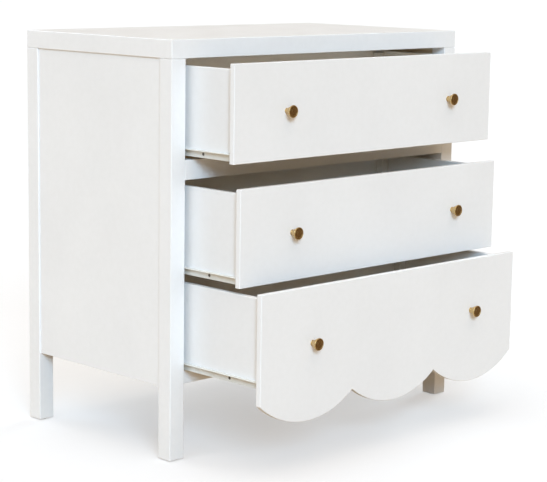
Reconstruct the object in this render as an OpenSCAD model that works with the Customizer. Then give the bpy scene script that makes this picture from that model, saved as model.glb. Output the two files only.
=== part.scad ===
// Three-drawer dresser: slab top on four square legs, framed side panels, one rail between
// the upper two drawers, a scalloped bottom drawer and roller slides under every drawer.
// Millimetres, +Z up. Origin on the floor, midway across and midway between the back of
// the case and the knobs of the bottom drawer. The fronts face -Y.

/* [Case] */
// Width over the legs
case_w = 820; // [700:10:1000]
// Depth of the legs and the top
case_d = 445; // [400:5:600]
// Height of the top surface above the floor
case_h = 810; // [800:5:830]
// Thickness of the top slab
slab_t = 36; // [24:1:40]
// Side of a square leg
leg_s = 35; // [30:1:45]
// How far the side panels sit inside the outer faces of the legs
panel_inset = 3; // [1:0.5:6]
// Thickness of a side panel
panel_t = 15; // [12:1:16]
// Height of the panels and lowest rails above the floor
skirt_z = 144; // [130:1:150]

/* [Drawer fronts] */
// Thickness of a drawer front
front_t = 12; // [10:1:16]
// Gap around a drawer front
front_gap = 3; // [2:0.5:4]
// Height of each of the two upper fronts
front_h = 185; // [180:1:188]
// Height of the rail between the two upper drawers
rail_h = 38; // [34:1:40]
// Lowest point of the scalloped edge above the floor
lobe_z = 95.5; // [85:0.5:105]
// Distance between the middles of neighbouring lobes
lobe_pitch = 243; // [235:1:250]
// Depth of the scallops, from a lobe's low point to the cusp beside it
lobe_depth = 41.5; // [30:0.5:45]

/* [Drawer boxes] */
// Length of a drawer box behind its front
box_len = 300; // [280:5:340]
// Height of a drawer box with its slides
box_h = 170; // [150:1:171]
// Thickness of the sides and back of a box
box_t = 12; // [10:1:15]
// Side of the square blocks in the rear corners
block_s = 18; // [12:1:22]

/* [Openings] */
// How far the top drawer stands open
open_top = 129.5; // [0:0.5:220]
// How far the middle drawer stands open
open_middle = 149; // [0:0.5:220]
// How far the bottom drawer stands open
open_bottom = 207.5; // [0:0.5:220]

/* [Knobs] */
// Diameter of a knob's face
knob_d = 24; // [20:1:32]
// Projection of a knob from its drawer front
knob_len = 18; // [16:1:28]
// Distance from the middle of the dresser to a knob
knob_x = 235.5; // [150:0.5:280]

/* [Hidden] */
$fn = 48;
eps = 0.01;

LEFT = -1;
RIGHT = 1;
// Drawers are numbered from the top
TOP = 0;
MIDDLE = 1;
BOTTOM = 2;

// Case: x is measured from the middle, y from the front faces of the legs
half_w = case_w / 2;
leg_in_x = half_w - leg_s;
rear_leg_y = case_d - leg_s;
slab_z = case_h - slab_t;
glide_h = 2;
glide_r = 12;
panel_in_x = half_w - panel_inset - panel_t;
tongue_t = 8;
tongue_l = 6;
tenon_l = 10;
drawer_rail_t = 22;
low_rail_t = 16;
low_rail_h = 26;
rear_rail_t = 18;
rear_rail_h = 40;
back_t = 6;
back_inset = 6;
back_y = case_d - back_inset - back_t;
batten_h = 40;
top_batten_h = 20;

// Drawer fronts
front_half_w = leg_in_x - front_gap;
upper_z = slab_z - front_gap - front_h;
rail_z = upper_z - front_gap - rail_h;
middle_z = rail_z - front_gap - front_h;
bottom_top_z = middle_z - front_gap;
lobe_r = (pow(lobe_pitch / 2, 2) + pow(lobe_depth, 2)) / (2 * lobe_depth);
bottom_knob_drop = 108.5;
top_slide_lift = 4;
middle_slide_lift = 5;
bottom_box_drop = 10;

// Level of each drawer: lower edge of its slides, height of its knobs, opening
slide_z = [
    upper_z + top_slide_lift, middle_z + middle_slide_lift,
    bottom_top_z - bottom_box_drop - box_h
];
knob_z = [upper_z + front_h / 2, middle_z + front_h / 2, bottom_top_z - bottom_knob_drop];
opening = [open_top, open_middle, open_bottom];

// The frame's origin is midway between the knobs of the bottom drawer and the case's back
front_y = (max(opening) + knob_len - case_d) / 2;

// Slides, in section: u runs from the inner face of a leg towards the drawer box
slide_gap = 12.5;
steel_t = 1.2;
slide_h = 14;
roller_r = 6;
roller_w = 5;
roller_gap = 0.3;
stud_r = 2;
bore_play = 0.08;
stud_head_r = 3.2;
stud_head_t = 0.8;
shoulder_r = 3;
roller_dz = slide_h - steel_t - roller_gap - roller_r;
slide_y = front_t + 2;
slide_len = 300;
roller_in = 9;
flange_cut = 18;
cabinet_lip_u = 9;
drawer_lip_u = 3;
foot_under_box = 10;
capture_gap = 0.8;
cabinet_roller_u = 4.7;
drawer_roller_u = 3.3;
slide_screw_y = [80, 240];
cabinet_screw_y = [60, 250];
slide_screw_dz = 7.2;

// Drawer box
box_out_x = leg_in_x - slide_gap;
box_in_x = box_out_x - box_t;
base_dz = 14;
base_t = 5;
groove = 6;
block_h = 147;

// Screws
fit_play = 0.05;
screw_r = 1.75;
screw_head_r = 3.1;
screw_len = 10;
back_screw_head_t = 2;
recess_w = 0.9;
recess_l = 3.6;
recess_t = 0.9;
knob_screw_r = 2;
knob_screw_head_r = 4;
knob_screw_head_t = 2.2;
knob_screw_in = 10;

paint = "#f1f1ef";
wood = "#d8bd93";
board = "#c9a67a";
steel = "#f4f4f2";
nylon = "#e9e6dc";
zinc = "#b8b9ba";
brass = "#a5803f";
felt = "#8b8378";

// ---- places ----

module in_case() {
    translate([0, front_y, 0]) children();
}

// A drawer's own y starts at the face of its front
module in_drawer(i) {
    translate([0, front_y - opening[i], 0]) children();
}

// Children are made for the right-hand side and mirrored for the left
module on_side(side) {
    mirror([side == LEFT ? 1 : 0, 0, 0]) children();
}

module both_sides() {
    on_side(LEFT) children();
    on_side(RIGHT) children();
}

// A box from its lowest corner to its highest corner
module block(low, high) {
    translate(low) cube(high - low);
}

// A cylinder along +X or along -Y from a point
module rod_x(at, r, l) {
    translate(at) rotate([0, 90, 0]) cylinder(r = r, h = l);
}

module rod_y(at, r, l) {
    translate(at) rotate([90, 0, 0]) cylinder(r = r, h = l);
}

// ---- fasteners ----

// Wood screw along +X, its flat head's face in the plane x = 0, with a cross recess
module screw_x(head_t, l) {
    difference() {
        union() {
            rod_x([0, 0, 0], screw_head_r, head_t);
            rod_x([0, 0, 0], screw_r, l);
        }
        for (a = [0, 90])
            rotate([a, 0, 0])
                block([-eps, -recess_l / 2, -recess_w / 2], [recess_t, recess_l / 2, recess_w / 2]);
    }
}

// The space that such a screw takes up
module screw_hole_x(head_t, l) {
    rod_x([-eps, 0, 0], screw_head_r + fit_play, head_t + eps);
    rod_x([0, 0, 0], screw_r + fit_play, l + fit_play);
}

// ---- case ----

module top_slab() {
    color(paint) in_case() block([-half_w, 0, slab_z], [half_w, case_d, case_h]);
}

// Grooves and mortises are on the faces that meet the panel and the rails
module leg(side, rear) {
    y0 = rear ? rear_leg_y : 0;
    groove_y = rear ? y0 - eps : y0 + leg_s - tongue_l;
    color(paint) in_case() on_side(side) difference() {
        block([leg_in_x, y0, glide_h], [half_w, y0 + leg_s, slab_z]);
        translate([0, 0, skirt_z])
            block([tongue_x(), groove_y, 0],
                  [tongue_x() + tongue_t, groove_y + tongue_l + eps, slab_z]);
        if (!rear) {
            rail_tenon(drawer_rail_box());
            rail_tenon(low_rail_box());
        }
        if (rear) {
            rail_tenon(rear_rail_box(skirt_z));
            rail_tenon(rear_rail_box(slab_z - rear_rail_h));
        }
    }
}

function tongue_x() = panel_in_x + (panel_t - tongue_t) / 2;

module side_panel(side) {
    color(paint) in_case() on_side(side) {
        block([panel_in_x, leg_s, skirt_z], [panel_in_x + panel_t, rear_leg_y, slab_z]);
        block([tongue_x(), leg_s - tongue_l, skirt_z],
              [tongue_x() + tongue_t, rear_leg_y + tongue_l, slab_z]);
    }
}

// Each rail is given by its y and z ranges: [y0, y1, z0, z1]
function drawer_rail_box() = [0, drawer_rail_t, rail_z, rail_z + rail_h];
function low_rail_box() = [leg_s - low_rail_t, leg_s, skirt_z, skirt_z + low_rail_h];
function rear_rail_box(z) = [back_y - rear_rail_t, back_y, z, z + rear_rail_h];

// The tenon is a quarter in from the rail's own faces and a fifth in from its edges
function tenon_of(r) = [
    r[0] + (r[1] - r[0]) / 4, r[1] - (r[1] - r[0]) / 4,
    r[2] + (r[3] - r[2]) / 5, r[3] - (r[3] - r[2]) / 5
];

module rail_tenon(r) {
    t = tenon_of(r);
    block([leg_in_x - eps, t[0], t[2]], [leg_in_x + tenon_l, t[1], t[3]]);
}

module rail(r) {
    t = tenon_of(r);
    color(paint) in_case() {
        block([-leg_in_x, r[0], r[2]], [leg_in_x, r[1], r[3]]);
        block([-leg_in_x - tenon_l, t[0], t[2]], [leg_in_x + tenon_l, t[1], t[3]]);
    }
}

back_screw_x = [-300, -100, 100, 300];
back_screw_z = [skirt_z + rear_rail_h / 2, slab_z - rear_rail_h / 2];

// Screws come from behind, so the screw along +X is turned to point along -Y
module at_back_screws() {
    for (x = back_screw_x, z = back_screw_z)
        translate([x, back_y + back_t, z]) rotate([0, 0, -90]) children();
}

module back_panel() {
    color(board) in_case() difference() {
        block([-leg_in_x, back_y, skirt_z], [leg_in_x, back_y + back_t, slab_z]);
        at_back_screws() screw_hole_x(back_screw_head_t, back_t + screw_len);
    }
}

module rear_rail(z) {
    difference() {
        rail(rear_rail_box(z));
        in_case() at_back_screws() screw_hole_x(back_screw_head_t, back_t + screw_len);
    }
}

module back_panel_screws() {
    color(zinc) in_case() at_back_screws() screw_x(back_screw_head_t, back_t + screw_len);
}

module top_battens() {
    color(wood) in_case() both_sides()
        block([leg_in_x, leg_s, slab_z - top_batten_h], [panel_in_x, rear_leg_y, slab_z]);
}

module at_cabinet_screws() {
    for (i = [TOP, MIDDLE, BOTTOM], y = cabinet_screw_y)
        translate([leg_in_x - steel_t, slide_y + y, slide_z[i] + slide_screw_dz]) children();
}

module runner_battens(side) {
    color(wood) in_case() on_side(side) difference() {
        for (z = slide_z)
            translate([0, 0, z + slide_h / 2])
                block([leg_in_x, leg_s, -batten_h / 2], [panel_in_x, rear_leg_y, batten_h / 2]);
        at_cabinet_screws() screw_hole_x(steel_t, screw_len);
    }
}

module foot_glides() {
    color(felt) in_case() both_sides()
        for (y = [leg_s / 2, case_d - leg_s / 2])
            translate([half_w - leg_s / 2, y, 0]) cylinder(r = glide_r, h = glide_h);
}

// ---- slides ----

// A steel shape on the right-hand side, from u and z ranges and a y range
module section(u0, u1, y0, y1, z0, z1) {
    block([leg_in_x - u1, y0, z0], [leg_in_x - u0, y1, z1]);
}

// Riveted stud with a shoulder behind the roller and a head in front of it.
// It grows along +u from the plane u = base, or along -u when dir is -1.
module stud(y, z, base, roller_u, dir) {
    near = dir > 0 ? roller_u - roller_gap : roller_u + roller_w + roller_gap;
    far = dir > 0 ? roller_u + roller_w + roller_gap : roller_u - roller_gap;
    tip = far + dir * stud_head_t;
    rod_u(y, z, base, near, shoulder_r);
    rod_u(y, z, base, tip, stud_r);
    rod_u(y, z, far, tip, stud_head_r);
}

module rod_u(y, z, u0, u1, r) {
    rod_x([leg_in_x - max(u0, u1), y, z], r, abs(u1 - u0));
}

module cabinet_slides(i) {
    z0 = slide_z[i];
    channel_z = z0 + roller_dz - roller_r - roller_gap;
    cap_z = z0 + slide_h + capture_gap;
    y1 = slide_y + slide_len;
    color(steel) in_case() both_sides() difference() {
        union() {
            section(0, steel_t, slide_y, y1, channel_z - steel_t, cap_z + steel_t);
            section(0, cabinet_lip_u, slide_y + flange_cut, y1, channel_z - steel_t, channel_z);
            section(0, cabinet_lip_u, slide_y, y1, cap_z, cap_z + steel_t);
            stud(slide_y + roller_in, z0 + roller_dz, steel_t / 2, cabinet_roller_u, 1);
        }
        at_cabinet_screws() screw_hole_x(steel_t + eps, screw_len);
    }
}

module cabinet_slide_screws() {
    color(zinc) in_case() both_sides() at_cabinet_screws() screw_x(steel_t, screw_len);
}

drawer_slide_u = slide_gap - steel_t;
drawer_end_y = front_t + slide_len;

module at_slide_screws(i) {
    for (y = slide_screw_y)
        translate([leg_in_x - drawer_slide_u, front_t + y, slide_z[i] + slide_screw_dz])
            rotate([0, 180, 0]) children();
}

module drawer_slides(i) {
    z0 = slide_z[i];
    color(steel) in_drawer(i) both_sides() difference() {
        union() {
            section(drawer_slide_u, slide_gap, front_t, drawer_end_y, z0, z0 + slide_h);
            section(drawer_slide_u, slide_gap + foot_under_box, front_t, drawer_end_y,
                    z0, z0 + steel_t);
            section(drawer_lip_u, slide_gap, front_t, drawer_end_y - flange_cut,
                    z0 + slide_h - steel_t, z0 + slide_h);
            stud(drawer_end_y - roller_in, z0 + roller_dz, drawer_slide_u + steel_t / 2,
                 drawer_roller_u, -1);
        }
        at_slide_screws(i) screw_hole_x(steel_t + eps, screw_len);
    }
}

module slide_screws(i) {
    color(zinc) in_drawer(i) both_sides() at_slide_screws(i) screw_x(steel_t, screw_len);
}

// A pair of nylon rollers, one on each side, that turn about one line
module rollers(y, z, u) {
    color(nylon) both_sides() difference() {
        rod_u(y, z, u, u + roller_w, roller_r);
        rod_u(y, z, u - eps, u + roller_w + eps, stud_r + bore_play);
    }
}

module cabinet_rollers(i) {
    in_case() rollers(slide_y + roller_in, slide_z[i] + roller_dz, cabinet_roller_u);
}

module drawer_rollers(i) {
    in_drawer(i) rollers(drawer_end_y - roller_in, slide_z[i] + roller_dz, drawer_roller_u);
}

// ---- drawers ----

// Outline of a front, seen from behind it, in x and z
module upper_outline(z) {
    translate([-front_half_w, z]) square([2 * front_half_w, front_h]);
}

module scalloped_outline() {
    $fn = 180;
    intersection() {
        translate([-front_half_w, lobe_z])
            square([2 * front_half_w, bottom_top_z - lobe_z]);
        union() {
            translate([-front_half_w, lobe_z + lobe_r / 2])
                square([2 * front_half_w, bottom_top_z - lobe_z]);
            for (k = [-1, 0, 1])
                translate([k * lobe_pitch, lobe_z + lobe_r]) circle(r = lobe_r);
        }
    }
}

module base_panel(i) {
    z = slide_z[i] + base_dz;
    block([-box_in_x - groove, front_t - groove, z],
          [box_in_x + groove, front_t + box_len - box_t + groove, z + base_t]);
}

module drawer_front(i) {
    color(paint) in_drawer(i) difference() {
        translate([0, front_t, 0]) rotate([90, 0, 0]) linear_extrude(front_t) {
            if (i == TOP) upper_outline(upper_z);
            if (i == MIDDLE) upper_outline(middle_z);
            if (i == BOTTOM) scalloped_outline();
        }
        base_panel(i);
        for (x = [-knob_x, knob_x])
            rod_y([x, front_t + eps, knob_z[i]], knob_screw_r + fit_play, front_t + 2 * eps);
    }
}

module box_side(side, i) {
    z0 = slide_z[i];
    color(paint) in_drawer(i) on_side(side) difference() {
        block([box_in_x, front_t, z0 + steel_t], [box_out_x, front_t + box_len, z0 + box_h]);
        block([box_in_x - eps, front_t - eps, z0 + base_dz],
              [box_in_x + groove, front_t + box_len - box_t + groove, z0 + base_dz + base_t]);
        at_slide_screws(i) screw_hole_x(steel_t, screw_len);
    }
}

module box_back(i) {
    z0 = slide_z[i];
    y1 = front_t + box_len;
    color(paint) in_drawer(i) difference() {
        block([-box_in_x, y1 - box_t, z0 + steel_t], [box_in_x, y1, z0 + box_h]);
        base_panel(i);
    }
}

module box_base(i) {
    color(board) in_drawer(i) base_panel(i);
}

module corner_blocks(i) {
    z = slide_z[i] + base_dz + base_t;
    y = front_t + box_len - box_t;
    color(paint) in_drawer(i) both_sides()
        block([box_in_x - block_s, y - block_s, z], [box_in_x, y, z + block_h]);
}

// ---- knobs ----

knob_foot_r = 6;
knob_foot_t = 1.2;
knob_neck_r = 5.6;
knob_neck_z = 1.8;
knob_rim_t = 2;
knob_ease = 0.6;
knob_dish_r = knob_d / 2 - 1.6;
knob_dish_t = 0.8;
flare_power = 1.15;
flare_steps = 12;

// Half section in radius and height: a foot, a neck that flares to the rim, and a face
// dished in a little
function knob_section() = let(
    rim_r = knob_d / 2,
    flare_z = knob_len - knob_rim_t
) concat(
    [[0, 0], [knob_foot_r, 0], [knob_foot_r, knob_foot_t], [knob_neck_r, knob_neck_z]],
    [for (k = [1 : flare_steps]) let(climb = k / flare_steps)
        [knob_neck_r + (rim_r - knob_neck_r) * pow(climb, flare_power),
         knob_neck_z + (flare_z - knob_neck_z) * climb]],
    [[rim_r, knob_len - knob_ease], [rim_r - knob_ease, knob_len],
     [knob_dish_r + knob_ease, knob_len], [knob_dish_r, knob_len - knob_dish_t],
     [0, knob_len - knob_dish_t]]
);

module knob(side, i) {
    color(brass) in_drawer(i) translate([side * knob_x, 0, knob_z[i]]) rotate([90, 0, 0])
        difference() {
            rotate_extrude() polygon(knob_section());
            translate([0, 0, -eps])
                cylinder(r = knob_screw_r + fit_play, h = knob_screw_in + 1);
        }
}

module knob_screws(i) {
    color(zinc) in_drawer(i)
        for (x = [-knob_x, knob_x]) translate([x, 0, knob_z[i]]) difference() {
            union() {
                rod_y([0, front_t + knob_screw_head_t, 0], knob_screw_head_r, knob_screw_head_t);
                rod_y([0, front_t + eps, 0], knob_screw_r, front_t + knob_screw_in);
            }
            for (a = [0, 90])
                translate([0, front_t + knob_screw_head_t, 0]) rotate([0, a, 0])
                    block([-recess_l / 2, -recess_t, -recess_w / 2], [recess_l / 2, eps, recess_w / 2]);
        }
}

top_slab();
leg(LEFT, false);  // leg_front_left
leg(RIGHT, false);  // leg_front_right
leg(LEFT, true);  // leg_rear_left
leg(RIGHT, true);  // leg_rear_right
side_panel(LEFT);  // side_panel_left
side_panel(RIGHT);  // side_panel_right
back_panel();
rail(drawer_rail_box());  // drawer_rail
rail(low_rail_box());  // bottom_front_rail
rear_rail(skirt_z);  // bottom_rear_rail
rear_rail(slab_z - rear_rail_h);  // top_rear_rail
top_battens();
runner_battens(LEFT);  // runner_battens_left
runner_battens(RIGHT);  // runner_battens_right
foot_glides();
back_panel_screws();
cabinet_slides(TOP);  // cabinet_slides_top
cabinet_slides(MIDDLE);  // cabinet_slides_middle
cabinet_slides(BOTTOM);  // cabinet_slides_bottom
cabinet_slide_screws();
cabinet_rollers(TOP);  // cabinet_rollers_top
cabinet_rollers(MIDDLE);  // cabinet_rollers_middle
cabinet_rollers(BOTTOM);  // cabinet_rollers_bottom
drawer_rollers(TOP);  // drawer_rollers_top
drawer_rollers(MIDDLE);  // drawer_rollers_middle
drawer_rollers(BOTTOM);  // drawer_rollers_bottom
drawer_front(TOP);  // drawer_front_top
drawer_front(MIDDLE);  // drawer_front_middle
drawer_front(BOTTOM);  // drawer_front_bottom
box_side(LEFT, TOP);  // box_side_left_top
box_side(LEFT, MIDDLE);  // box_side_left_middle
box_side(LEFT, BOTTOM);  // box_side_left_bottom
box_side(RIGHT, TOP);  // box_side_right_top
box_side(RIGHT, MIDDLE);  // box_side_right_middle
box_side(RIGHT, BOTTOM);  // box_side_right_bottom
box_back(TOP);  // box_back_top
box_back(MIDDLE);  // box_back_middle
box_back(BOTTOM);  // box_back_bottom
box_base(TOP);  // box_base_top
box_base(MIDDLE);  // box_base_middle
box_base(BOTTOM);  // box_base_bottom
corner_blocks(TOP);  // corner_blocks_top
corner_blocks(MIDDLE);  // corner_blocks_middle
corner_blocks(BOTTOM);  // corner_blocks_bottom
drawer_slides(TOP);  // drawer_slides_top
drawer_slides(MIDDLE);  // drawer_slides_middle
drawer_slides(BOTTOM);  // drawer_slides_bottom
slide_screws(TOP);  // slide_screws_top
slide_screws(MIDDLE);  // slide_screws_middle
slide_screws(BOTTOM);  // slide_screws_bottom
knob(LEFT, TOP);  // knob_left_top
knob(LEFT, MIDDLE);  // knob_left_middle
knob(LEFT, BOTTOM);  // knob_left_bottom
knob(RIGHT, TOP);  // knob_right_top
knob(RIGHT, MIDDLE);  // knob_right_middle
knob(RIGHT, BOTTOM);  // knob_right_bottom
knob_screws(TOP);  // knob_screws_top
knob_screws(MIDDLE);  // knob_screws_middle
knob_screws(BOTTOM);  // knob_screws_bottom
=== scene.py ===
"""Looks of the three-drawer dresser: lacquer, boards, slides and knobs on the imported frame.

Metres, in the frame's own axes. The fronts face -Y and the drawers stand open.
"""

import math

import bpy
from mathutils import Matrix, Vector


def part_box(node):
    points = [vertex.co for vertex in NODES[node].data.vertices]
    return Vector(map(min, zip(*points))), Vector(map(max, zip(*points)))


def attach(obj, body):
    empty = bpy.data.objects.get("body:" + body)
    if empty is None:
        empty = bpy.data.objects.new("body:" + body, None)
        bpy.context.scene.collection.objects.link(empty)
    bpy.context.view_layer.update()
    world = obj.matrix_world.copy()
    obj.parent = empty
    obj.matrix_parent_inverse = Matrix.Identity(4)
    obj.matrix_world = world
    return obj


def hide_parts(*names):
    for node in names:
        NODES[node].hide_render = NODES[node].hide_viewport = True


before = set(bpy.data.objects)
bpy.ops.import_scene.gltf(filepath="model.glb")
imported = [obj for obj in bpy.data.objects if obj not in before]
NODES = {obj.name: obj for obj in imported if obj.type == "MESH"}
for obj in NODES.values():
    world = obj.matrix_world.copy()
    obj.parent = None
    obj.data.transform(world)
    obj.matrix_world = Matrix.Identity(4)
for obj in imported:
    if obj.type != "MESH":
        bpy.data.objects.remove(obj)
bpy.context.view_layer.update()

LEVELS = ("top", "middle", "bottom")
SIDES = ("left", "right")
MM = 0.001
X, Y, Z = 0, 1, 2


# ---- procedural materials ----

# Where a noise texture's usual range starts and ends
NOISE_LOW, NOISE_HIGH = 0.3, 0.7
# Multiplying by this changes nothing
CLEAR = (1, 1, 1)


class Look:
    """A material whose nodes end in one Principled shader, patterned by object coordinates."""

    def __init__(self, name, **shader_values):
        self.material = bpy.data.materials.new(name)
        self.material.use_nodes = True
        self.tree = self.material.node_tree
        self.shader = self.tree.nodes["Principled BSDF"]
        for socket, value in shader_values.items():
            self.shader.inputs[socket.replace("_", " ")].default_value = value
        self.here = self.node("TexCoord").outputs["Object"]

    def node(self, kind, inputs=None, **settings):
        made = self.tree.nodes.new("ShaderNode" + kind)
        for name, value in settings.items():
            setattr(made, name, value)
        for socket, value in (inputs or {}).items():
            self.feed(made.inputs[socket], value)
        return made

    def feed(self, socket, value):
        if isinstance(value, bpy.types.NodeSocket):
            self.tree.links.new(value, socket)
        else:
            socket.default_value = value

    def scaled(self, scale):
        """The object coordinates times a scale for each axis."""
        return self.node("Mapping", {"Vector": self.here, "Scale": scale}).outputs["Vector"]

    def noise(self, scale, detail=2.0, distortion=0.0, at=None):
        inputs = {
            "Vector": at or self.here,
            "Scale": scale,
            "Detail": detail,
            "Distortion": distortion,
        }
        return self.node("TexNoise", inputs).outputs["Fac"]

    def wave(self, scale, distortion, at, direction):
        inputs = {
            "Vector": at,
            "Scale": scale,
            "Distortion": distortion,
            "Detail": 2.5,
            "Detail Scale": 1.2,
        }
        return self.node("TexWave", inputs, bands_direction=direction).outputs["Fac"]

    def math(self, operation, first, second):
        return self.node("Math", {0: first, 1: second}, operation=operation).outputs[0]

    def remap(self, value, low, high, out_low, out_high):
        inputs = {
            "Value": value,
            "From Min": low,
            "From Max": high,
            "To Min": out_low,
            "To Max": out_high,
        }
        return self.node("MapRange", inputs).outputs["Result"]

    def spread(self, noise, low, high):
        """A noise's usual range stretched from low to high."""
        return self.remap(noise, NOISE_LOW, NOISE_HIGH, low, high)

    def ramp(self, value, stops):
        made = self.node("ValToRGB", {"Fac": value})
        elements = made.color_ramp.elements
        while len(elements) < len(stops):
            elements.new(0.5)
        for element, (position, colour) in zip(elements, stops):
            element.position = position
            element.color = (*colour, 1)
        return made.outputs["Color"]

    def tones(self, noise, first, second):
        """A colour that goes from first to second over a noise's usual range."""
        return self.ramp(noise, [(NOISE_LOW, first), (NOISE_HIGH, second)])

    def mix(self, amount, first, second, blend="MIX"):
        made = self.node("Mix", data_type="RGBA", blend_type=blend)
        factor, a, b = (made.inputs[i] for i in (0, 6, 7))
        for socket, value in ((factor, amount), (a, first), (b, second)):
            if isinstance(value, tuple):
                value = (*value, 1)
            self.feed(socket, value)
        return made.outputs[2]

    def colour(self, value):
        self.feed(self.shader.inputs["Base Color"], value)

    def roughness(self, value):
        self.feed(self.shader.inputs["Roughness"], value)

    def bump(self, *layers):
        """Each layer is (height, depth in metres); they add up in the order given."""
        normal = None
        for height, depth in layers:
            inputs = {"Height": height, "Distance": depth, "Strength": 1.0}
            if normal is not None:
                inputs["Normal"] = normal
            normal = self.node("Bump", inputs).outputs["Normal"]
        self.feed(self.shader.inputs["Normal"], normal)


def shade(colour, factor):
    return tuple(c * factor for c in colour)


def lacquer(name, tint, gloss_roughness, peel_depth):
    """Sprayed paint: faint clouding, orange peel, a few dust nibs and uneven sheen."""
    look = Look(name, IOR=1.5, Coat_Weight=0.12, Coat_Roughness=0.3)
    clouds = look.noise(4.5, detail=3, distortion=0.4)
    mottle = look.noise(85, detail=4)
    nibs = look.noise(620, detail=1)
    tone = look.tones(clouds, shade(tint, 0.975), shade(tint, 1.012))
    speckle = look.ramp(mottle, [(0.35, (0.97, 0.97, 0.965)), (0.65, CLEAR)])
    look.colour(look.mix(0.5, tone, speckle, "MULTIPLY"))
    sheen = look.noise(16, detail=5, distortion=0.6)
    look.roughness(look.spread(sheen, gloss_roughness - 0.06, gloss_roughness + 0.08))
    peel = look.noise(300, detail=1.5)
    specks = look.remap(nibs, 0.72, 0.8, 0, 1)
    look.bump((look.noise(22, detail=2), 0.12 * MM), (peel, peel_depth), (specks, 0.02 * MM))
    return look.material


def worn_arris(name, tint, under):
    """The paint on a rounded edge: rubbed smoother and a little thinner, in short patches."""
    look = Look(name, IOR=1.5, Coat_Weight=0.2, Coat_Roughness=0.2)
    rub = look.noise(38, detail=5, distortion=0.8)
    fine = look.noise(260, detail=3)
    patches = look.remap(look.mix(0.35, rub, fine), 0.62, 0.72, 0, 0.45)
    look.colour(look.mix(patches, look.tones(fine, shade(tint, 0.985), tint), under))
    look.roughness(look.spread(rub, 0.28, 0.42))
    look.bump((rub, 0.05 * MM), (fine, 0.02 * MM))
    return look.material


def along(axis, lengthwise, across):
    """Texture scales for wood that grows along one axis."""
    return tuple(lengthwise if i == axis else across for i in (X, Y, Z))


def sawn_wood(name, axis, pale, dark, ring_pitch):
    """Planed softwood: growth rings drawn out along the board, fibres and darker pores."""
    look = Look(name, IOR=1.45)
    drawn = look.scaled(along(axis, 0.07, 1.0))
    across = "XYZ"[(axis + 1) % 3]
    rings = look.wave(1 / ring_pitch / (2 * math.pi), 5.0, drawn, across)
    fibres = look.noise(1, detail=4, at=look.scaled(along(axis, 14, 900)))
    pores = look.noise(1, detail=2, at=look.scaled(along(axis, 60, 2600)))
    boards = look.noise(2.2, detail=1)
    wood = look.ramp(rings, [(0.1, pale), (0.62, shade(pale, 0.9)), (0.95, dark)])
    wood = look.mix(0.55, wood, look.tones(fibres, shade(pale, 0.78), pale), "SOFT_LIGHT")
    dots = look.ramp(pores, [(0.62, CLEAR), (0.75, (0.72, 0.66, 0.6))])
    wood = look.mix(0.6, wood, dots, "MULTIPLY")
    staves = look.ramp(boards, [(0.35, (0.9, 0.9, 0.9)), (0.65, CLEAR)])
    look.colour(look.mix(0.7, wood, staves, "MULTIPLY"))
    look.roughness(look.remap(fibres, 0.2, 0.8, 0.52, 0.74))
    look.bump((rings, 0.08 * MM), (fibres, 0.10 * MM), (pores, 0.05 * MM))
    return look.material


def veneer_board(name, axis, pale, dark):
    """Thin plywood: wide rotary-cut figure, fine fibres and a dull clear coat."""
    look = Look(name, IOR=1.45, Coat_Weight=0.05, Coat_Roughness=0.4)
    swirl = look.noise(3.2, detail=2, at=look.scaled(along(axis, 0.35, 1.6)))
    bands = look.math("PINGPONG", look.math("MULTIPLY", swirl, 26), 1)
    fibres = look.noise(1, detail=4, at=look.scaled(along(axis, 10, 700)))
    flecks = look.noise(1, detail=2, at=look.scaled(along(axis, 45, 2200)))
    wood = look.ramp(bands, [(0.0, dark), (0.25, shade(pale, 0.93)), (0.9, pale)])
    wood = look.mix(0.5, wood, look.tones(fibres, shade(pale, 0.7), pale), "SOFT_LIGHT")
    marks = look.ramp(flecks, [(0.63, CLEAR), (0.74, (0.66, 0.58, 0.5))])
    look.colour(look.mix(0.5, wood, marks, "MULTIPLY"))
    look.roughness(look.remap(fibres, 0.2, 0.8, 0.5, 0.7))
    look.bump((bands, 0.03 * MM), (fibres, 0.07 * MM), (flecks, 0.04 * MM))
    return look.material


def coated_steel(name):
    """Epoxy powder coat on rolled steel, rubbed in long streaks where it runs on rollers."""
    look = Look(name, IOR=1.5, Coat_Weight=0.25, Coat_Roughness=0.22)
    grit = look.noise(1500, detail=2)
    clouds = look.noise(30, detail=3)
    streaks = look.noise(1, detail=5, at=look.scaled((800, 9, 800)))
    base = look.tones(clouds, (0.70, 0.685, 0.62), (0.765, 0.75, 0.69))
    rub = look.ramp(streaks, [(0.60, CLEAR), (0.74, (0.80, 0.79, 0.77))])
    look.colour(look.mix(0.6, base, rub, "MULTIPLY"))
    look.roughness(look.remap(streaks, 0.3, 0.75, 0.42, 0.26))
    look.bump((grit, 0.02 * MM), (clouds, 0.05 * MM), (streaks, 0.01 * MM))
    return look.material


def moulded_nylon(name):
    """Off-white nylon with a milky depth, flow marks and a fine matt tread."""
    look = Look(name, IOR=1.53, Subsurface_Weight=0.25, Subsurface_Scale=0.002)
    flow = look.noise(240, detail=3, distortion=1.2)
    tread = look.noise(1, detail=3, at=look.scaled((3000, 500, 500)))
    look.colour(look.tones(flow, (0.66, 0.64, 0.57), (0.76, 0.74, 0.68)))
    look.roughness(look.spread(tread, 0.36, 0.55))
    look.bump((flow, 0.03 * MM), (tread, 0.02 * MM))
    return look.material


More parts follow.
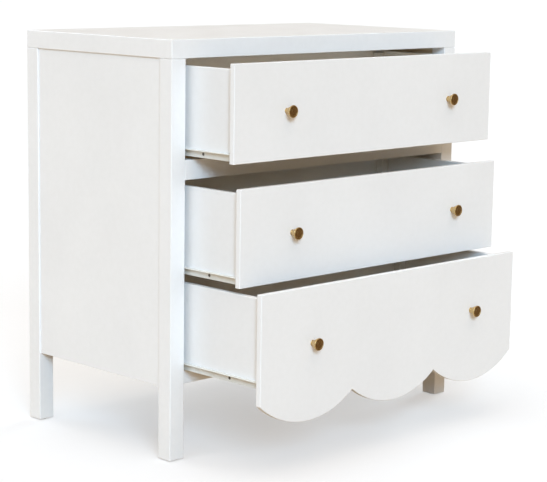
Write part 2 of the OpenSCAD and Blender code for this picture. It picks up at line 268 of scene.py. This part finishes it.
def turned_brass(name, bright, dark, ring_scale, ring_depth, patina_from):
    """Aged brass off the lathe: fine rings about the knob's own axis under a blotchy patina."""
    look = Look(name, Metallic=1.0)
    flat = look.scaled((1, 1, 0))
    radius = look.node("VectorMath", {0: flat}, operation="LENGTH").outputs["Value"]
    height = look.node("SeparateXYZ", {0: look.here}).outputs["Z"]
    climb = look.math("ADD", radius, height)
    turns = look.node("CombineXYZ", {"X": climb}).outputs[0]
    rings = look.noise(ring_scale, detail=3, at=turns)
    patina = look.noise(210, detail=5, distortion=0.5)
    specks = look.noise(1300, detail=2)
    cover = look.remap(look.mix(0.3, patina, rings), patina_from, patina_from + 0.25, 0, 1)
    tone = look.mix(cover, bright, dark)
    spots = look.ramp(specks, [(0.60, CLEAR), (0.72, (0.45, 0.36, 0.28))])
    look.colour(look.mix(0.5, tone, spots, "MULTIPLY"))
    look.roughness(look.spread(patina, 0.26, 0.46))
    look.bump((rings, ring_depth), (patina, 0.04 * MM), (specks, 0.01 * MM))
    return look.material


def plated_screw(name, tone):
    """Zinc plate with passivation blush and fine scratches."""
    look = Look(name, Metallic=1.0)
    blush = look.noise(420, detail=4, distortion=0.7)
    scratches = look.noise(1, detail=3, at=look.scaled((5200, 700, 1800)))
    yellowed = (tone[0] * 0.9, tone[1] * 0.86, tone[2] * 0.72)
    look.colour(look.ramp(blush, [(0.3, shade(tone, 0.76)), (0.55, tone), (0.8, yellowed)]))
    look.roughness(look.spread(scratches, 0.24, 0.44))
    look.bump((scratches, 0.01 * MM), (blush, 0.02 * MM))
    return look.material


def felt_pad(name):
    """Hard pressed felt: matted fibres in mixed greys, scuffed underneath."""
    look = Look(name, Sheen_Weight=0.3, Sheen_Roughness=0.6)
    fuzz = look.noise(1800, detail=5, distortion=2.0)
    clumps = look.noise(260, detail=4)
    mixed = look.mix(0.5, fuzz, clumps)
    look.colour(look.ramp(mixed, [(0.35, (0.16, 0.14, 0.12)), (0.65, (0.34, 0.31, 0.27))]))
    look.roughness(look.spread(clumps, 0.82, 0.96))
    look.bump((fuzz, 0.15 * MM), (clumps, 0.2 * MM))
    return look.material


WHITE = (0.868, 0.86, 0.842)
PRIMER = (0.64, 0.62, 0.58)
PINE = (0.80, 0.69, 0.54)
PINE_DARK = (0.66, 0.51, 0.36)
PLY = (0.80, 0.67, 0.49)
PLY_DARK = (0.70, 0.55, 0.37)
BRASS = (0.62, 0.44, 0.20)
BRONZE = (0.20, 0.10, 0.030)
ZINC = (0.66, 0.66, 0.67)
DARK_ZINC = (0.17, 0.155, 0.135)

lacquer_white = lacquer("lacquer_white", WHITE, gloss_roughness=0.40, peel_depth=0.03 * MM)
lacquer_box = lacquer("lacquer_box", shade(WHITE, 0.96), gloss_roughness=0.50,
                      peel_depth=0.04 * MM)
arris = worn_arris("lacquer_arris", shade(WHITE, 1.02), PRIMER)
pine = sawn_wood("pine_y", Y, PINE, PINE_DARK, ring_pitch=6 * MM)
ply = {axis: veneer_board("ply_" + "xyz"[axis], axis, PLY, PLY_DARK) for axis in (X, Z)}
steel = coated_steel("coated_steel")
nylon = moulded_nylon("moulded_nylon")
zinc = plated_screw("zinc_screw", ZINC)
dark_zinc = plated_screw("dark_screw", DARK_ZINC)
felt = felt_pad("felt_pad")
brass_neck = turned_brass("brass_neck", BRASS, BRONZE, ring_scale=900, ring_depth=0.03 * MM,
                          patina_from=0.55)
brass_face = turned_brass("brass_face", shade(BRASS, 0.50), shade(BRONZE, 0.85), ring_scale=1500,
                          ring_depth=0.05 * MM, patina_from=0.36)


# ---- rounded edges on the frame's own nodes ----

# Points closer than this are joined
SAME_POINT = 0.001 * MM
# Faces that meet at less than this are made one
FLAT_ANGLE = math.radians(0.3)
# Edges sharper than this are rounded
EDGE_ANGLE = math.radians(28)
# Widths of the rounded edges. The fronts share the legs', the panels the rails'
LEG_EDGE = 1.3 * MM
SLAB_EDGE = 1.6 * MM
RAIL_EDGE = 0.8 * MM
BOX_EDGE = 1.0 * MM
SHEET_EDGE = 0.4 * MM
STEEL_EDGE = 0.3 * MM
ROLLER_EDGE = 0.5 * MM
SCREW_EDGE = 0.12 * MM
KNOB_SCREW_EDGE = 0.15 * MM
SCREW_SEGMENTS = 2


def dress(name, look, width, edge_look=None, segments=3):
    """Gives a CAD node its material and rounds its edges. Its mesh stays as it is."""
    body = NODES[name]
    body.data.materials.clear()
    body.data.materials.append(look)
    body.data.materials.append(edge_look or look)
    for face in body.data.polygons:
        face.use_smooth = True
        face.material_index = 0
    weld = body.modifiers.new("weld", "WELD")
    weld.merge_threshold = SAME_POINT
    flat = body.modifiers.new("flat_faces", "DECIMATE")
    flat.decimate_type = "DISSOLVE"
    flat.angle_limit = FLAT_ANGLE
    bevel = body.modifiers.new("arris", "BEVEL")
    bevel.width = width
    bevel.segments = segments
    bevel.limit_method = "ANGLE"
    bevel.angle_limit = EDGE_ANGLE
    bevel.use_clamp_overlap = False
    bevel.loop_slide = False
    bevel.material = 1
    normals = body.modifiers.new("normals", "WEIGHTED_NORMAL")
    normals.keep_sharp = False


LACQUERED = {
    "top_slab": SLAB_EDGE,
    "leg_front_left": LEG_EDGE,
    "leg_front_right": LEG_EDGE,
    "leg_rear_left": LEG_EDGE,
    "leg_rear_right": LEG_EDGE,
    "side_panel_left": RAIL_EDGE,
    "side_panel_right": RAIL_EDGE,
    "drawer_rail": RAIL_EDGE,
    "bottom_front_rail": RAIL_EDGE,
    "bottom_rear_rail": RAIL_EDGE,
    "top_rear_rail": RAIL_EDGE,
}
for name, width in LACQUERED.items():
    dress(name, lacquer_white, width, arris)
dress("back_panel", ply[Z], SHEET_EDGE)
for name in ("top_battens", "runner_battens_left", "runner_battens_right"):
    dress(name, pine, BOX_EDGE)
dress("foot_glides", felt, SHEET_EDGE)
for name in ("back_panel_screws", "cabinet_slide_screws"):
    dress(name, zinc, SCREW_EDGE, segments=SCREW_SEGMENTS)
for level in LEVELS:
    dress("drawer_front_" + level, lacquer_white, LEG_EDGE, arris)
    for board in ("box_side_left_", "box_side_right_", "box_back_"):
        dress(board + level, lacquer_box, BOX_EDGE, arris)
    dress("box_base_" + level, ply[X], SHEET_EDGE)
    dress("corner_blocks_" + level, lacquer_box, RAIL_EDGE, arris)
    dress("drawer_slides_" + level, steel, STEEL_EDGE)
    dress("cabinet_slides_" + level, steel, STEEL_EDGE)
    dress("slide_screws_" + level, dark_zinc, SCREW_EDGE, segments=SCREW_SEGMENTS)
    dress("knob_screws_" + level, zinc, KNOB_SCREW_EDGE, segments=SCREW_SEGMENTS)
    dress("cabinet_rollers_" + level, nylon, ROLLER_EDGE)
    dress("drawer_rollers_" + level, nylon, ROLLER_EDGE)


# ---- knobs ----

# Radii and heights of a knob in millimetres, from its foot to its face
KNOB_LENGTH = 18
FOOT_R, FOOT_T, FOOT_EASE = 6.0, 1.2, 0.4
NECK_R, NECK_Z = 5.6, 1.8
FLARE_POWER = 1.15
RIM_R, RIM_T, RIM_EASE = 12.0, 2.0, 0.7
DISH_R, DISH_T = 10.4, 0.8
# The rim's inner lip: out from the dish's radius, and down from the face
DISH_LIP = ((0.5, 0), (0.1, 0.25), (-0.3, DISH_T))
# The darker face reaches this far past the dish
FACE_OVERLAP = 0.3
BORE_R, BORE_DEPTH = 2.05, 11.0
TURNED_GROOVES = (3.1, 5.3, 7.4, 9.2)
GROOVE_W, GROOVE_T = 0.32, 0.14
FLARE_STEPS = 26
ROUND_STEPS = 6
LATHE_STEPS = 96
LATHE_SHARP = math.radians(38)


def arc(centre, radius, start, end, steps):
    """Points on a circle's arc, by angle in degrees, in (radius, height)."""
    for k in range(steps + 1):
        a = math.radians(start + (end - start) * k / steps)
        yield centre[0] + radius * math.cos(a), centre[1] + radius * math.sin(a)


def knob_section():
    """Half section of the knob: bore, foot, flared neck, rolled rim and dished face."""
    points = [(0, BORE_DEPTH), (BORE_R, BORE_DEPTH), (BORE_R, 0)]
    points += arc((FOOT_R - FOOT_EASE, FOOT_EASE), FOOT_EASE, -90, 0, ROUND_STEPS)
    points += arc((FOOT_R - FOOT_EASE, FOOT_T - FOOT_EASE), FOOT_EASE, 0, 90, ROUND_STEPS)
    flare_z = KNOB_LENGTH - RIM_T
    for k in range(FLARE_STEPS + 1):
        climb = k / FLARE_STEPS
        points.append((NECK_R + (RIM_R - NECK_R) * climb**FLARE_POWER,
                       NECK_Z + (flare_z - NECK_Z) * climb))
    points += arc((RIM_R - RIM_EASE, KNOB_LENGTH - RIM_EASE), RIM_EASE, 0, 90, ROUND_STEPS)
    points += [(DISH_R + out, KNOB_LENGTH - down) for out, down in DISH_LIP]
    floor_z = KNOB_LENGTH - DISH_T
    for groove in reversed(TURNED_GROOVES):
        points += [(groove + GROOVE_W, floor_z), (groove, floor_z - GROOVE_T),
                   (groove - GROOVE_W, floor_z)]
    points.append((0, floor_z))
    return points


def lathe(name, section, steps):
    """A closed solid of revolution about +Z; the section starts and ends on the axis."""
    verts, rings = [], []
    for radius, height in section:
        if radius == 0:
            rings.append([len(verts)] * steps)
            verts.append((0, 0, height * MM))
            continue
        rings.append([len(verts) + k for k in range(steps)])
        for k in range(steps):
            a = 2 * math.pi * k / steps
            verts.append((radius * MM * math.cos(a), radius * MM * math.sin(a), height * MM))
    faces = []
    for low, high in zip(rings, rings[1:]):
        for k in range(steps):
            corners = [low[k], low[(k + 1) % steps], high[(k + 1) % steps], high[k]]
            faces.append(tuple(dict.fromkeys(corners)))
    mesh = bpy.data.meshes.new(name)
    mesh.from_pydata(verts, [], faces)
    for face in mesh.polygons:
        face.use_smooth = True
    mesh.set_sharp_from_angle(angle=LATHE_SHARP)
    return mesh


def make_knob(side, level):
    node = f"knob_{side}_{level}"
    low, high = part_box(node)
    mesh = lathe("turned_" + node, knob_section(), LATHE_STEPS)
    mesh.materials.append(brass_neck)
    mesh.materials.append(brass_face)
    for face in mesh.polygons:
        radius = math.hypot(face.center.x, face.center.y)
        on_rim = face.center.z > (KNOB_LENGTH - RIM_T) * MM
        if on_rim and radius < (DISH_R + FACE_OVERLAP) * MM:
            face.material_index = 1
    knob = bpy.data.objects.new("turned_" + node, mesh)
    bpy.context.scene.collection.objects.link(knob)
    middle = (low + high) / 2
    knob.matrix_world = (Matrix.Translation((middle.x, high.y, middle.z))
                         @ Matrix.Rotation(math.radians(90), 4, "X"))
    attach(knob, level + "_drawer")
    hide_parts(node)


for level in LEVELS:
    for side in SIDES:
        make_knob(side, level)


# ---- camera ----

CAMERA_PLACE = (-2.566, -2.560, 0.973)
CAMERA_YAW, CAMERA_PITCH, CAMERA_ROLL = 44.74, 9.37, -0.84
CAMERA_LENS = 115.3
CAMERA_FAR = 200


def place_camera():
    yaw, pitch, roll = (math.radians(a) for a in (CAMERA_YAW, CAMERA_PITCH, CAMERA_ROLL))
    forward = Vector((math.sin(yaw) * math.cos(pitch), math.cos(yaw) * math.cos(pitch),
                      -math.sin(pitch)))
    right = Vector((math.cos(yaw), -math.sin(yaw), 0))
    down = forward.cross(right)
    level_right = math.cos(roll) * right + math.sin(roll) * down
    level_down = math.cos(roll) * down - math.sin(roll) * right
    turn = Matrix((level_right, -level_down, -forward)).transposed().to_4x4()
    camera = bpy.data.objects.new("camera", bpy.data.cameras.new("camera"))
    camera.data.lens = CAMERA_LENS
    camera.data.clip_end = CAMERA_FAR
    camera.matrix_world = Matrix.Translation(CAMERA_PLACE) @ turn
    bpy.context.scene.collection.objects.link(camera)
    bpy.context.scene.camera = camera


place_camera()


# ---- floor and light ----

FLOOR_R = 60
FLOOR_STEP = 4
FLOOR_SEEN = (0.48, 0.48, 0.48)
FLOOR_GLOW = 0.45
FLOOR_BOUNCE = (0.54, 0.42, 0.29)
# Name: azimuth from the front towards the right, elevation, spread in degrees, strength, colour
LIGHTS = {
    "key": (-34, 25, 22, 2.60, (0.565, 0.775, 1)),
    "left": (-85, 25, 45, 0.64, (0.61, 0.80, 1)),
    "above": (-40, 72, 60, 1.28, (1, 0.89, 0.79)),
    "right": (48, 12, 80, 0.06, (1, 0.85, 0.7)),
    "right_side": (103, 20, 24, 1.65, (0.68, 0.85, 1)),
    "back": (195, 32, 40, 0.95, (0.78, 0.90, 1)),
}
WORLD_LIGHT = (0.325, 0.245, 0.165)
WORLD_SEEN = (1, 1, 1)


def add_light(name, azimuth, elevation, spread, strength, colour):
    """A soft box far enough away to light the whole floor evenly."""
    lamp = bpy.data.lights.new(name, "SUN")
    lamp.angle = math.radians(spread)
    lamp.energy = strength
    lamp.color = colour
    a, e = math.radians(azimuth), math.radians(elevation)
    out = Vector((math.sin(a) * math.cos(e), -math.cos(a) * math.cos(e), math.sin(e)))
    holder = bpy.data.objects.new(name, lamp)
    holder.rotation_euler = out.to_track_quat("Z", "Y").to_euler()
    bpy.context.scene.collection.objects.link(holder)


def make_floor():
    """A plain floor that looks paler to the camera than the warm light it gives back."""
    ring = [(FLOOR_R * math.cos(math.radians(a)), FLOOR_R * math.sin(math.radians(a)), 0)
            for a in range(0, 360, FLOOR_STEP)]
    mesh = bpy.data.meshes.new("floor")
    mesh.from_pydata(ring, [], [tuple(range(len(ring)))])
    look = Look("floor_paint")
    clouds = look.noise(1.5, detail=3)
    pale = look.tones(clouds, shade(FLOOR_SEEN, 0.99), FLOOR_SEEN)
    seen = look.node("LightPath").outputs["Is Camera Ray"]
    look.colour(look.mix(seen, FLOOR_BOUNCE, pale))
    look.feed(look.shader.inputs["Emission Strength"], look.math("MULTIPLY", seen, FLOOR_GLOW))
    look.shader.inputs["Emission Color"].default_value = (1, 1, 1, 1)
    look.roughness(look.spread(look.noise(40, detail=3), 0.75, 0.9))
    look.shader.inputs["Specular IOR Level"].default_value = 0.1
    mesh.materials.append(look.material)
    floor = bpy.data.objects.new("floor", mesh)
    bpy.context.scene.collection.objects.link(floor)


def make_world():
    """Dim warm light all round, seen as a plain pale backdrop where the floor ends."""
    world = bpy.data.worlds.new("studio")
    world.use_nodes = True
    tree = world.node_tree
    lit = tree.nodes["Background"]
    lit.inputs["Color"].default_value = (*WORLD_LIGHT, 1)
    seen = tree.nodes.new("ShaderNodeBackground")
    seen.inputs["Color"].default_value = (*WORLD_SEEN, 1)
    choose = tree.nodes.new("ShaderNodeMixShader")
    ray = tree.nodes.new("ShaderNodeLightPath")
    tree.links.new(ray.outputs["Is Camera Ray"], choose.inputs["Fac"])
    tree.links.new(lit.outputs["Background"], choose.inputs[1])
    tree.links.new(seen.outputs["Background"], choose.inputs[2])
    tree.links.new(choose.outputs["Shader"], tree.nodes["World Output"].inputs["Surface"])
    bpy.context.scene.world = world


for name, settings in LIGHTS.items():
    add_light(name, *settings)
make_floor()
make_world()
bpy.context.scene.view_settings.view_transform = "Standard"
